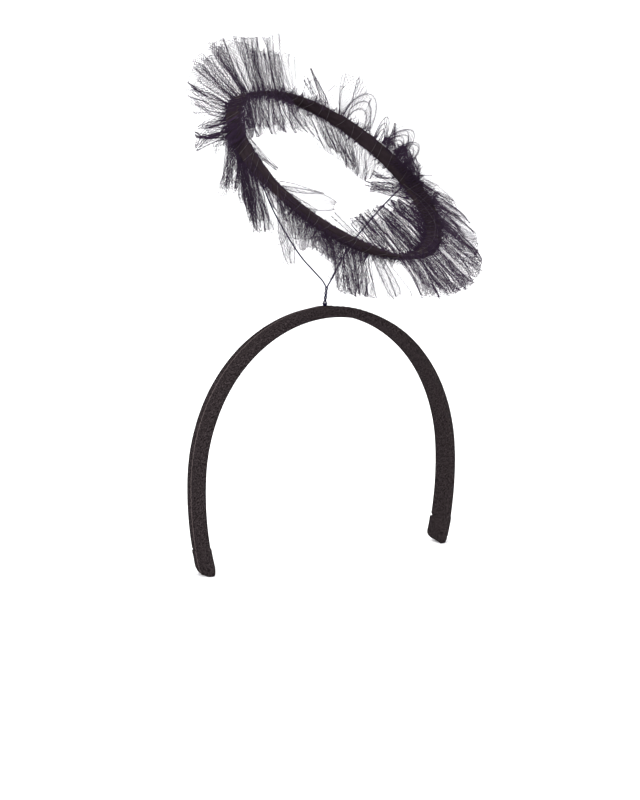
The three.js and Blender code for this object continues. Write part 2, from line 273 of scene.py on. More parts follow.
def ribbonLook():
    b = Board("ribbon")
    uv = b.make("ShaderNodeUVMap", {"uv_map": "cloth"})
    split = b.make("ShaderNodeSeparateXYZ", None, [uv])
    alongCloth = Wire(b, split.socket.node.outputs[1])
    ribs = (alongCloth * (2 * math.pi / 0.0008)).maths("SINE") * 0.5 + 0.5
    wide = b.make("ShaderNodeMapping", None, {0: uv, 3: (500, 150, 1)})
    mottle = b.make("ShaderNodeTexNoise", None, {"Vector": wide, "Scale": 1.0, "Detail": 3.0})
    dark = (0.012, 0.0085, 0.0105, 1)
    light = (0.03, 0.0215, 0.0255, 1)
    b.set("Base Color", b.mix(mottle * 1.2 - 0.2 + ribs * 0.2, dark, light))
    b.set("Roughness", 0.7)
    b.set("Specular IOR Level", 0.0)
    b.bump(ribs + mottle * 0.6, 0.4, 0.0001)
    return b.material


def plainLook(name, colour, roughness, metallic=0.0, gloss=0.5):
    b = Board(name)
    b.set("Base Color", (*colour, 1))
    b.set("Roughness", roughness)
    b.set("Metallic", metallic)
    b.set("Specular IOR Level", gloss)
    return b.material


def veilLook():
    b = Board("tulle_veil")
    place = b.make("ShaderNodeTexCoord", None, out=3)
    cloud = b.make("ShaderNodeTexNoise", None, {"Vector": place, "Scale": 160.0, "Detail": 1.0})
    b.set("Base Color", (0.05, 0.032, 0.06, 1))
    b.set("Roughness", 0.9)
    b.set("Specular IOR Level", 0.1)
    b.set("Alpha", 0.04 + cloud * 0.08)
    return b.material


bandCloth = clothLook()
ribbonCloth = ribbonLook()
enamel = plainLook("wire", (0.004, 0.0018, 0.026), 0.4, gloss=0.1)
brightWire = plainLook("wire_cut", (0.35, 0.34, 0.36), 0.25, 1.0)
netThread = plainLook("tulle_thread", (0.024, 0.0135, 0.03), 0.85, gloss=0.1)
stitchThread = plainLook("stitch_thread", (0.05, 0.043, 0.05), 0.8)
veil = veilLook()
print("stage: looks made")


def bandStation(run):
    side = np.where(run < 0, -1.0, 1.0)
    left = np.abs(run)
    x = np.zeros_like(left)
    z = np.zeros_like(left)
    start = np.zeros_like(left)
    last = 0.0
    for radius, end in band["arcs"]:
        turn = np.clip(left / radius, 0, math.radians(end) - last)
        x += radius * (np.sin(start + turn) - np.sin(start))
        z -= radius * (np.cos(start) - np.cos(start + turn))
        left = left - turn * radius
        start = start + turn
        last = math.radians(end)
    x += np.cos(start) * left
    z -= np.sin(start) * left
    return x * side, z, start * side


def halfBand():
    last, total = 0.0, 0.0
    for radius, end in band["arcs"]:
        total += radius * math.radians(end - last)
        last = end
    return total


bandHalf = halfBand()
capStart = bandHalf - band["capLength"]


# Points of the section at each station; swell grows it on every side
def bandPoints(run, swell, raised, slant=None, ripple=None):
    section = np.array(bandTop + bandUnder)
    across = section[:, 0][None, :]
    up = section[:, 1][None, :]
    shift = np.zeros((len(run), len(section))) if slant is None else slant
    x, z, angle = bandStation(run[:, None] + shift)
    middle = band["thick"] / 2
    sideways = across * (band["width"] / 2 + swell[:, None])
    height = middle + (up * band["thick"] - middle) * (1 + swell[:, None] / middle)
    height = height + np.where(up > 0.4, raised[:, None] * up, 0)
    if ripple is not None:
        height = height + ripple
    points = np.stack([x + np.sin(angle) * height, -sideways, z + np.cos(angle) * height], -1)
    return points


def clothFlat(run):
    return np.stack(np.broadcast_arrays(sectionRun()[None, :] * mm, run[:, None] * mm), -1)


def softNoise(x, y, seed):
    rng = np.random.default_rng(seed)
    total = np.zeros(np.broadcast(x, y).shape)
    for k in range(6):
        fx, fy, p = rng.uniform(-1, 1), rng.uniform(-1, 1), rng.uniform(0, 6.28)
        total += np.sin(x * fx * (1 + k * 0.6) + y * fy * (1 + k * 0.6) + p) / (1 + k * 0.4)
    return total / 3


def makeBand():
    reach = capStart + band["overlap"]
    run = np.linspace(-reach, reach, band["stations"])
    section = np.array(bandTop + bandUnder)
    across = section[:, 0][None, :]
    up = section[:, 1][None, :]
    near = np.maximum(0, 1 - np.abs(run) / band["bumpLength"])
    raised = band["bump"] * near * near * (3 - 2 * near)
    inCap = np.clip((np.abs(run) - (capStart - 0.4)) / 0.8, 0, 1)
    swell = -band["tuck"] * inCap
    noise = softNoise(run[:, None] * 0.22, across * 3, 3)
    ripple = np.where(up > 0.3, 1.0, 0.0) * band["ripple"] * noise
    pucker = band["pucker"] * np.exp(-((across - 0.02) / 0.1) ** 2) * np.sin(run[:, None] * 1.9)
    points = bandPoints(run, swell, raised, None, ripple + pucker * (up > 0.3))
    columns = len(section)
    faces = np.concatenate([gridFaces(len(run), columns), endFaces(len(run), columns)])
    piece = addMesh("band_cover", points, faces, bandCloth, True, clothFlat(run))
    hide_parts("headband")


# Cloth wrapped over the tip of each leg: along, swell, slant of the cut
capShape = (
    (0.0, -0.35, 0.9), (0.0, 0.45, 0.9), (0.035, 0.85, 0.85), (0.09, 1.0, 0.75), (0.2, 0.9, 0.5),
    (0.35, 0.85, 0.25), (0.5, 0.95, 0.1), (0.62, 1.0, 0.0), (0.72, 0.9, -0.1), (0.8, 0.55, -0.3),
    (0.86, 0.05, -0.55), (0.91, -0.55, -0.8), (0.95, -1.2, -0.95), (0.98, -2.0, -1.0), (1.0, -3.0, -1.0),
)


def makeTip(name, side, node):
    table = np.array(capShape)
    fine = np.linspace(0, len(table) - 1, 46)
    along, grow, slant = (np.interp(fine, np.arange(len(table)), table[:, k]) for k in range(3))
    section = np.array(bandTop + bandUnder)
    across = section[:, 0][None, :]
    run = capStart + along * (band["capLength"] + band["capSwell"])
    # The upper cut steps down at the back edge, the end is longer at the front edge
    shift = slant[:, None] * 0.9 * -across * np.where(slant[:, None] > 0, 1, 1.1)
    shift = shift * (np.abs(across) + 0.15)
    ripple = 0.1 * softNoise(run[:, None] * 0.8, across * 4.0, 11 + side)
    crease = -0.32 * np.exp(-((along[:, None] - 0.8 + 0.05 * across) / 0.035) ** 2)
    crease = crease * (0.5 + 0.5 * np.sin(across * 7 + side))
    ripple = (ripple + crease) * (section[:, 1][None, :] > 0.3)
    points = bandPoints(run, grow * band["capSwell"], np.zeros(len(run)), shift, ripple)
    points = points * np.array([side, 1, 1])
    columns = len(section)
    faces = np.concatenate([gridFaces(len(run), columns), endFaces(len(run), columns)])
    faces = faces if side > 0 else faces[:, ::-1]
    piece = addMesh(name, points, faces, bandCloth, True, clothFlat(run))
    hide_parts(node)


makeBand()
makeTip("tip_wrap_left", 1, "tip_cover_left")
makeTip("tip_wrap_right", -1, "tip_cover_right")
print("stage: band made")

# The hoop: a level circle turned and tipped over the crown
hoop = {
    "radius": 58.0,
    "tilt": math.radians(39.8),
    "heading": math.radians(25),
    "centre": np.array([4.2, -3.0, 69.4]),
    "width": 8.2,
    "thick": 1.6,
}
h, t = hoop["heading"], hoop["tilt"]
hoopUp = np.array([math.sin(h) * math.sin(t), -math.cos(h) * math.sin(t), math.cos(t)])
hoopAcross = np.array([math.cos(h), math.sin(h), 0.0])
hoopBack = np.cross(hoopUp, hoopAcross)
# Turn round the hoop, lean of the ribbon's top edge away from the middle
ribbonRoll = (
    (10, -12), (50, -28), (85, -42), (108, -40), (150, 0), (190, 36), (225, 30), (262, 50), (290, 58),
    (325, 30),
)


def hoopPoint(turn, out, up):
    a = np.radians(turn)[..., None]
    place = hoopAcross * np.cos(a) + hoopBack * np.sin(a)
    return hoop["centre"] + place * np.asarray(out)[..., None] + hoopUp * np.asarray(up)[..., None]


# Beside the ribbon: distance along its width and through its thickness
def besideRibbon(turn, wide, thick):
    roll = np.radians(roundTable(ribbonRoll, turn))
    out = hoop["radius"] + np.sin(roll) * wide + np.cos(roll) * thick
    up = np.cos(roll) * wide - np.sin(roll) * thick
    return out, up


# Half section of the folded ribbon: share of width, share of thickness
ribbonEdge = (
    (-1.0, 0.35), (-0.985, 0.75), (-0.95, 0.98), (-0.85, 1.0), (-0.5, 0.9), (-0.1, 0.86), (0.3, 0.88),
    (0.62, 0.95), (0.7, 0.98), (0.72, 0.84), (0.85, 0.86), (0.95, 0.82), (0.985, 0.6), (1.0, 0.3),
)


def makeRibbon():
    steps = 540
    turn = np.linspace(0, 360, steps, endpoint=False)[:, None]
    front = np.array(ribbonEdge)
    back = np.array(ribbonEdge)[::-1] * np.array([1, -0.92])
    section = np.concatenate([front, back])
    a = np.radians(turn)
    edgeWave = 0.16 * np.sin(a * 23 + 1) + 0.12 * np.sin(a * 41 + 2) + 0.1 * np.sin(a * 67)
    wide = section[:, 0][None, :] * (hoop["width"] / 2 + edgeWave * 0.6)
    dent = 0.1 * softNoise(a * 30, section[:, 0][None, :] * 2.5, 5)
    thick = section[:, 1][None, :] * hoop["thick"] / 2 + dent
    turns = turn + np.zeros_like(wide)
    out, up = besideRibbon(turns, wide, thick)
    points = hoopPoint(turns, out, up)
    faces = gridFaces(steps, len(section), closedRows=True)
    run = np.radians(turns) * hoop["radius"]
    flat = np.stack([wide * mm, run * mm], -1)
    piece = addMesh("halo_ribbon", points, faces, ribbonCloth, True, flat)
    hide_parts("halo_ring")


makeRibbon()

# Stitches: radius of the thread, least and greatest step round the hoop
stitches = {"thread": 0.075, "least": 3.2, "greatest": 9.5}
# Stray threads: turn, span, place across the ribbon at the start and at the end
strayThreads = (
    (318, 30, 3.2, -2.2), (276, 44, -2.4, 2.6), (300, 34, 2.2, -0.5), (262, 30, 0.4, 3.0),
)


# Over-and-over stitches that hold the net, and stray threads along the ribbon
def makeStitches():
    rng = np.random.default_rng(21)
    lines = []
    turn = 2.0
    while turn < 360:
        lean = rng.uniform(-1.5, 1.5)
        share = np.linspace(0, 1, 25)
        a = share * 2 * math.pi
        wide = np.cos(a) * (hoop["width"] / 2 + 0.12)
        thick = np.clip(np.sin(a) * 3, -1, 1) * (hoop["thick"] / 2 + 0.06)
        turns = turn + lean * np.cos(a) + 0.4 * np.sin(a)
        out, up = besideRibbon(turns, wide, thick)
        lines.append(hoopPoint(turns, out, up))
        turn += rng.uniform(stitches["least"], stitches["greatest"])
    for start, length, low, high in strayThreads:
        share = np.linspace(0, 1, 25)
        turns = start + share * length
        wide = low + (high - low) * share + 0.4 * np.sin(share * 5)
        out, up = besideRibbon(turns, wide, np.full(25, -hoop["thick"] / 2 - 0.1))
        lines.append(hoopPoint(turns, out, up))
    points, faces = threadMesh(np.array(lines), stitches["thread"], 5)
    piece = addMesh("ribbon_stitches", points, faces, stitchThread, True)


makeStitches()
print("stage: ribbon made")

# Stem and arms
stem = {
    "height": 14.2,
    "aside": 0.5,
    "lean": 0.7,
    "wire": 0.76,
    "pitch": 4.3,
    "twistGap": 0.09,
    "twistStart": -0.45,  # share of the climb, inside the knot
    "endInset": 0.6,
    "knotWidth": 2.4,
    "knotHeight": 1.4,
    "knotTurns": 4.5,
    "knotThread": 0.24,
}
knotBase = band["thick"] + band["bump"] + 0.3
wireBase = knotBase + stem["knotHeight"] + 0.3
# Turn of the hoop where the arm ends, then shares of the reach and of the climb on its way
armRoutes = {
    "wire_arm_left": (348, (
        (0.05, 0.074), (0.116, 0.175), (0.3, 0.42), (0.56, 0.665), (0.8, 0.86), (1, 1),
    )),
    "wire_arm_right": (172, (
        (0.052, 0.06), (0.112, 0.103), (0.24, 0.192), (0.325, 0.25), (0.472, 0.373), (0.8, 0.714), (1, 1),
    )),
}


def smoothLine(points, steps):
    points = np.asarray(points, float)
    gaps = np.sqrt(np.maximum(np.linalg.norm(np.diff(points, axis=0), axis=1), 1e-6))
    knots = np.concatenate([[0], np.cumsum(gaps)])
    slopes = np.gradient(points, knots, axis=0)
    at = np.linspace(0, knots[-1], steps)
    k = np.clip(np.searchsorted(knots, at, side="right") - 1, 0, len(knots) - 2)
    width = (knots[k + 1] - knots[k])[:, None]
    s = ((at - knots[k])[:, None]) / width
    a = (2 * s**3 - 3 * s**2 + 1) * points[k] + (s**3 - 2 * s**2 + s) * width * slopes[k]
    return a + (3 * s**2 - 2 * s**3) * points[k + 1] + (s**3 - s**2) * width * slopes[k + 1]


def makeWires():
    climb = stem["height"] - wireBase
    turns = climb / stem["pitch"]
    radius = stem["wire"] / 2 + stem["twistGap"]
    for name, (ringTurn, route) in armRoutes.items():
        at = np.array([float(ringTurn)])
        out, up = besideRibbon(at, -hoop["width"] / 2 + stem["endInset"], 0)
        end = hoopPoint(at, out, up)[0]
        facing = math.atan2(end[1], end[0])
        share = np.linspace(stem["twistStart"], 1, 36)
        angle = facing + (share - 1) * turns * 2 * math.pi
        aside = stem["aside"] + share * stem["lean"]
        twist = np.stack([
            aside + np.cos(angle) * radius,
            -aside / 2 + np.sin(angle) * radius,
            wireBase + share * climb,
        ], -1)
        start = twist[-1]
        rest = [start + (end - start) * np.array([r, r, c]) for r, c in route]
        line = smoothLine(np.concatenate([twist, rest]), 420)
        points, faces = threadMesh(line[None], stem["wire"] / 2, 12)
        piece = addMesh(name.replace("wire_arm", "arm_wire"), points, faces, enamel, True)
        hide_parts(name)


def makeKnot():
    columns = 24
    share = np.linspace(0, 1, 140)
    angle = share * 2 * math.pi * stem["knotTurns"]
    radius = stem["knotWidth"] / 2 - 0.22 - 0.1 * np.sin(share * 9)
    coil = np.stack([
        stem["aside"] + np.cos(angle) * radius,
        -stem["aside"] / 2 + np.sin(angle) * radius,
        knotBase + 0.1 + share * (stem["knotHeight"] - 0.2),
    ], -1)
    profile = ((0.0, -0.6), (0.9, -0.6), (0.95, 0.2), (0.9, 0.8), (0.55, 1.0), (0.0, 1.02))
    turns = np.linspace(0, 2 * math.pi, columns, endpoint=False)
    rings = [
        np.stack([
            stem["aside"] + np.cos(turns) * r * (stem["knotWidth"] / 2 - 0.35),
            -stem["aside"] / 2 + np.sin(turns) * r * (stem["knotWidth"] / 2 - 0.35),
            np.full(columns, knotBase + up * stem["knotHeight"]),
        ], -1)
        for r, up in profile
    ]
    core = (np.array(rings), gridFaces(len(rings), columns))
    binding = threadMesh(coil[None], stem["knotThread"], 8)
    piece = addMesh("knot_binding", *joined([core, binding]), enamel, True)
    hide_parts("stem_knot")
    cut = np.array([
        [-0.7, -0.95, knotBase + 1.1],
        [-0.25, -1.3, knotBase + 1.25],
        [0.25, -1.5, knotBase + 1.2],
    ])
    tip = addMesh("knot_wire_end", *threadMesh(cut[None], 0.26, 8), brightWire, True)


makeWires()
makeKnot()
print("stage: wires made")

# The net: spacing of its threads, length of a step along them, radius of each kind of thread
net = {
    "pitch": 0.75,
    "step": 1.35,
    "openStep": 0.95,
    "thread": 0.07,
    "openThread": 0.1,
    "cutThread": 0.06,
    "edgeThread": 0.08,
    "rootInset": 0.8,  # from the edge of the ribbon
    "bunchInset": 0.6,
}
# Panels of gathered net: root from one turn to the other along an edge of the ribbon (1 upper, -1 lower),
# where the tip of each end lies from its root (out, up, round the hoop), layers, cloth width, fold depth
outerPanels = (
    (342, 354, 1, 0.1, 7.4, 5.0, 0.2, 8.4, 7.1, 4, 41, 1.6),
    (352, 368, 1, 0.1, 7.6, 6.6, 1.9, 5.0, 2.7, 3, 44, 1.6),
    (18, 32, 1, 5.8, 15.0, 10.2, 9.9, 20.9, 5.9, 1, 21, 0.8),
    (38, 57, 1, 6.7, 13.0, 3.7, 7.9, 7.4, 5.8, 1, 27, 0.8),
    (56, 70, -1, 23.6, 23.0, 17.3, 22.8, 19.2, 9.6, 2, 22, 1.2),
    (65, 82, -1, 22.9, 20.4, 11.8, 23.3, 16.6, 5.4, 3, 43, 2.2),
    (78, 96, -1, 23.6, 16.6, 7.5, 29.9, 9.8, 4.4, 3, 47, 2.4),
    (92, 106, -1, 28.0, 10.4, 5.6, 28.3, 1.5, 2.5, 3, 34, 2.4),
    (103, 116, -1, 27.5, 4.0, 2.8, 23.5, -5.1, 0.7, 2, 36, 2.2),
    (112, 125, -1, 23.6, -4.7, 2.2, 13.4, -8.7, 0.9, 2, 30, 2.0),
    (126, 140, -1, 8.0, -8.2, 1.7, 2.4, -12.2, 4.8, 2, 23, 1.2),
    (137, 150, -1, -8.8, -26.0, 16.6, -7.7, -15.0, 14.5, 4, 32, 1.6),
    (146, 158, -1, -12.4, -20.8, 19.4, -12.0, -22.7, 27.2, 4, 34, 1.6),
    (156, 170, -1, -13.0, -24.4, 27.7, -6.5, -15.3, 23.8, 4, 40, 1.6),
    (169, 184, -1, -6.0, -9.0, 17.0, -0.9, -6.6, 13.2, 1, 24, 1.2),
    (183, 191, -1, 2.0, -22.4, 26.4, 2.6, -12.4, 18.1, 2, 18, 1.0),
    (190, 204, -1, 2.4, -13.5, 20.0, 4.4, -8.0, 11.9, 4, 34, 1.6),
    (203, 215, -1, 5.1, -9.8, 14.9, 7.8, -8.4, 14.1, 4, 29, 1.6),
    (213, 236, -1, 12.8, -17.2, 20.9, 15.0, -14.4, 9.2, 4, 63, 2.0),
    (236, 250, -1, 15.5, -12.5, 11.3, 20.8, -7.2, 12.5, 1, 28, 1.0),
    (250, 268, 1, 19.4, -7.0, 11.4, 23.4, -5.4, 6.1, 3, 48, 2.2),
    (266, 290, 1, 22.6, -5.8, 6.5, 25.0, -4.5, -2.9, 3, 59, 2.2),
    (288, 318, 1, 24.2, -4.9, -2.2, 27.1, -3.0, -17.0, 3, 62, 2.2),
    (314, 336, 1, 26.1, -2.8, -14.0, 20.8, 2.0, -21.4, 2, 56, 1.8),
    (332, 347, 1, 19.6, 1.2, -17.9, 12.5, 1.8, -18.7, 2, 35, 1.4),
    (343, 354, 1, 13.1, 2.4, -16.4, 7.1, 2.4, -12.7, 1, 22, 1.2),
)
innerPanels = (
    (103, 126, 1, -14.6, -13.6, 3.5, -12.2, -11.4, 6.4, 3, 52, 1.4),
    (84, 104, 1, -16.6, -14.2, -2.1, -13.8, -15.0, 4.4, 3, 53, 1.8),
    (66, 84, 1, -14.4, -11.8, -7.8, -16.6, -14.2, -2.1, 3, 46, 1.8),
    (50, 65, -1, -10.3, -9.2, -10.8, -14.5, -6.5, -11.4, 2, 26, 1.0),
    (28, 50, -1, -7.0, -13.4, -11.0, -11.7, -11.0, -11.8, 3, 51, 1.4),
    (10, 28, -1, -4.8, -13.1, -3.9, -7.0, -13.6, -9.9, 2, 40, 1.4),
    (350, 369, -1, -7.0, -4.1, 9.1, -4.9, -13.0, -3.0, 1, 29, 1.0),
    (336, 348, -1, -17.8, -9.4, 13.5, -10.5, -6.0, 12.6, 2, 27, 1.2),
    (244, 262, -1, -16.8, 7.0, -12.2, -26.3, 6.3, -9.9, 3, 41, 1.6),
    (259, 281, -1, -24.6, 6.1, -10.8, -30.1, 5.3, -1.5, 3, 52, 1.8),
    (278, 301, -1, -30.1, 5.5, -3.0, -25.0, 4.7, 7.7, 2, 61, 1.8),
    (298, 322, -1, -26.2, 4.6, 6.6, -12.4, 4.5, 10.5, 2, 61, 1.6),
)
# Folded leaves and wisps of net: turn of the root, ribbon edge, tip from the root (out, up, round the hoop),
# width at the root, width at the widest, place of the widest, curl, side it faces (0 up, 1 outwards), layers,
# end (0 pointed, 1 round, 2 a loop that comes back to the ribbon)
leaves = (
    (43, 1, 11.0, 10.1, 16.1, 2.0, 3.0, 0.3, 1.0, 1, 2, 0),
    (47, 1, 8.5, 6.6, 11.2, 1.5, 2.0, 0.3, -0.8, 1, 2, 0),
    (12, 1, 3.9, 11.6, 6.2, 1.6, 1.6, 0.3, 3.0, 1, 2, 0),
    (35, 1, 9.6, 18.2, 4.2, 1.5, 9.5, 1.0, 0.8, 1, 2, 0),
    (27, 1, 7.4, 16.5, 1.5, 0.0, 17.0, 0.0, 1.2, 1, 1, 2),
    (5, 1, 6.4, 15.0, -2.0, 0.0, 13.0, 0.0, 2.0, 1, 2, 2),
    (359, 1, 5.0, 12.4, -3.0, 0.0, 11.0, 0.0, -1.5, 1, 2, 2),
    (12, 1, 3.5, 12.7, 4.9, 0.0, 7.0, 0.0, 1.0, 1, 1, 2),
    (6, 1, 4.0, 12.0, 7.0, 3.0, 4.5, 0.45, 2.0, 1, 3, 0),
    (131, -1, 11.0, -13.1, 2.3, 1.5, 3.4, 0.6, -4.5, 0, 2, 1),
    (135, -1, 13.2, -10.6, -0.5, 1.5, 2.4, 0.4, -4.0, 0, 2, 0),
    (138, -1, 11.7, -14.5, 1.4, 1.5, 2.6, 0.4, 4.5, 0, 2, 0),
    (142, -1, 11.7, -14.4, 0.5, 1.4, 2.6, 0.6, 2.5, 0, 2, 1),
    (127, -1, 10.2, -11.1, 2.3, 1.0, 1.6, 0.4, 1.5, 0, 2, 0),
    (152, 1, -15.4, -1.9, 14.1, 5.0, 4.0, 0.2, 0.8, 1, 2, 0),
    (163, 1, -6.7, -5.0, 12.0, 3.0, 2.4, 0.3, -0.6, 1, 2, 0),
    (185, 1, -10.3, 8.1, 23.5, 3.0, 8.5, 0.6, 2.5, 1, 1, 1),
    (181, 1, -11.9, 8.4, 18.6, 2.0, 3.6, 0.4, 2.6, 1, 1, 0),
    (190, 1, -3.5, 1.7, 14.5, 3.0, 3.0, 0.5, 1.2, 1, 1, 1),
    (234, 1, -13.3, 0.2, -18.7, 4.0, 3.0, 0.2, 0.8, 1, 3, 0),
    (338, -1, -17.7, -8.6, 15.0, 2.5, 2.6, 0.3, 1.0, 1, 2, 0),
    (344, -1, -11.8, -2.3, 15.2, 2.5, 2.6, 0.3, -1.0, 1, 2, 0),
    (186, -1, 2.3, -21.0, 24.5, 4.0, 6.5, 0.6, 1.0, 1, 1, 1),
    (137, 1, 5.0, -8.0, 0.0, 0.0, 9.0, 0.0, 1.5, 1, 2, 2),
    (146, 1, 5.0, -9.5, 3.0, 0.0, 10.0, 0.0, -1.5, 1, 2, 2),
    (129, -1, 9.2, -10.2, 0.7, 0.0, 5.5, 0.0, 1.5, 1, 1, 2),
    (139, -1, 11.7, -10.9, -0.3, 0.0, 5.0, 0.0, -1.5, 1, 1, 2),
    (243, -1, 17.5, -9.2, 12.2, 4.0, 6.0, 0.8, 1.0, 1, 1, 1),
)
# Net folded over the ribbon: turn, span, face, start and end across the ribbon, bulge, slant, gather
patches = (
    (146, 17, 1, 5.2, -5.6, 1.5, 2.0, 2.6),
    (118, 16, 1, 2.0, -5.4, 1.0, -2.0, 2.4),
    (337, 20, -1, -1.5, 8.0, 1.0, -4.0, 2.8),
    (352, 18, -1, -0.5, 7.0, 1.0, -3.0, 2.6),
    (320, 24, -1, -6.5, 4.2, 0.8, -9.0, 1.8),
    (296, 26, -1, -6.5, 3.6, 0.7, -7.0, 1.8),
    (200, 24, 1, 0.5, -6.5, 0.9, 4.0, 2.4),
    (222, 24, 1, 0.5, -7.0, 0.9, 4.0, 2.6),
    (172, 20, 1, 0.5, -6.5, 0.9, 4.0, 2.4),
    (262, 30, 1, 1.0, -6.0, 0.8, 3.0, 2.4),
)
# Short bunched edge: turn, reach under the lower edge, reach over the upper edge
bunching = (
    (0, 2.6, 5.0), (30, 2.2, 4.2), (60, 3.6, 4.5), (90, 4.5, 4.5), (120, 6.0, 3.5), (150, 7.5, 2.2),
    (176, 4.2, 1.6), (192, 6.5, 1.6), (210, 8.5, 1.6), (240, 7.5, 2.0), (262, 6.0, 4.0),
    (285, 6.0, 6.0), (312, 6.0, 6.0), (338, 5.0, 6.5),
)


# Directions at a turn of the hoop: out, up and round
def hoopWays(turn):
    a = np.radians(turn)[..., None]
    outWay = hoopAcross * np.cos(a) + hoopBack * np.sin(a)
    roundWay = hoopBack * np.cos(a) - hoopAcross * np.sin(a)
    return outWay, roundWay


# Place of the cloth at share u across a panel and share v of its reach
def panelPoint(panel, u, v, shape):
    low, high, edge = panel[:3]
    ends = np.array(panel[3:9]).reshape(2, 3) * shape["length"]
    pleats = shape["pleats"]
    p = 2 * math.pi * (pleats * u + shape["warp"] * np.sin(2 * math.pi * u * 1.7 + shape["phase"]))
    p = p + shape["phase"]
    strong = 0.55 + 0.45 * np.sin(1.7 * p / pleats * shape["beat"] + shape["phase"] * 3)
    crowd = (0.05 + 0.09 * v) * shape["overlap"] * strong
    share = u + crowd / pleats * np.sin(2 * p) + 0.05 / pleats * np.sin(5.3 * p + 1) * (1 - v)
    turns = low + (high - low) * share + shape["shift"]
    outWay, roundWay = hoopWays(turns)
    way = ends[0] + (ends[1] - ends[0]) * np.clip(share, -0.1, 1.1)[..., None]
    fall = outWay * way[..., :1] + hoopUp * way[..., 1:2] + roundWay * way[..., 2:]
    side = unit(np.cross(roundWay, fall))
    depth = shape["depth"] * (0.25 + 0.75 * v**0.7) * strong
    aside = depth * (np.sin(p) + 0.28 * np.sin(2.7 * p + 2) * (1 - 0.5 * v))
    aside = aside + shape["bend"] * v * v + shape["twist"] * (u - 0.5) * v + shape["offset"]
    aside = aside + 0.9 * v * np.sin(6.5 * v + 0.7 * p + shape["phase"])
    spread = shape["sway"] * v * v + shape["flare"] * (u - 0.5) * v
    spread = spread + 0.8 * v * np.sin(7.5 * v + 0.9 * p + shape["notch"])
    spread = spread + 0.25 * np.sin(19 * v + 1.7 * p)
    rootWide = np.full_like(turns, edge * (hoop["width"] / 2 - net["rootInset"]))
    root = hoopPoint(turns, *besideRibbon(turns, rootWide, shape["side"]))
    return root + fall * v[..., None] + side * aside[..., None] + roundWay * spread[..., None]


def panelShape(rng, panel, layer):
    low, high, layers, cloth, depth = panel[0], panel[1], panel[9], panel[10], panel[11]
    later = layer > 0
    calm = layer == 0 and layers > 1
    return {
        "calm": calm,
        "cloth": cloth * (0.6 if calm else 0.8 if layer < 3 else 0.66),
        "pleats": max(1.0, round(cloth / rng.uniform(9.0, 14.0) * (0.6 if calm else 1))),
        "warp": rng.uniform(0.1, 0.35),
        "phase": rng.uniform(0, 6.28),
        "beat": rng.uniform(1.2, 2.4),
        "overlap": rng.uniform(0.2, 0.8) * (0.3 if calm else 1),
        "depth": depth * rng.uniform(1.1, 1.6) * (0.35 if calm else 1),
        "flare": rng.uniform(-1.0, 1.5) * (1 + later),
        "sway": rng.uniform(-1.0, 1.0) * (1 + 4 * later),
        "shift": rng.uniform(-0.25, 0.25) * (high - low) * later,
        "bend": rng.uniform(-2.0, 2.0) * (1 + 0.6 * later),
        "twist": rng.uniform(-2.5, 2.5),
        "offset": (0.0, 0.6, -0.6, 0.2)[layer % 4],
        "side": (0.0, 0.45, -0.45, 0.2)[layer % 4],
        "length": 0.99 if calm else 1.0 if layer == 0 else rng.uniform(0.74, 1.02),
        "notch": rng.uniform(0, 6.28),
    }


# Zigzag threads of a piece of net: place(u, v) gives the point, cut the length of each thread
def netThreads(place, cloth, reach, cut, steps=None, step=None):
    count = max(3, int(cloth / net["pitch"]))
    steps = steps or max(4, int(round(reach / (step or net["step"]))) + 1)
    k = np.arange(count)[:, None]
    j = np.arange(steps)[None, :]
    u = (k + 0.5 + 0.46 * np.where((j + k) % 2 == 0, 1, -1)) / count
    v = j / (steps - 1) * cut((k + 0.5) / count)
    return place(u, v)


def panelReach(panel):
    return 0.5 * (np.linalg.norm(panel[3:6]) + np.linalg.norm(panel[6:9]))


def makePanel(panel, shape, rng):
    def cut(base):
        ragged = 0.4 if shape["calm"] else 1
        ends = 1 - 0.07 * ragged * (0.5 + 0.5 * np.sin(base * shape["pleats"] * 5.3 + shape["notch"])) ** 2
        ends = ends - 0.06 * ragged * (0.5 + 0.5 * np.sin(base * 5.1 + shape["notch"] * 2))
        return ends - rng.uniform(0, 0.012, base.shape)

    def place(u, v):
        return panelPoint(panel, u, v, shape)

    step = net["openStep"] if shape["calm"] else net["step"]
    thread = net["openThread"] if shape["calm"] else net["thread"]
    parts = [threadMesh(netThreads(place, shape["cloth"], panelReach(panel), cut, step=step), thread)]
    u = np.linspace(0, 1, int(shape["cloth"] / 0.5))[None, :]
    parts.append(threadMesh(place(u, cut(u) - 0.01), net["cutThread"]))
    if panel[9] == 1:
        u = np.array([[0.0], [0.02], [0.98], [1.0]])
        u, v = np.broadcast_arrays(u, np.linspace(0, 0.95, 20)[None, :])
        parts.append(threadMesh(place(u, v), net["edgeThread"]))
    return parts


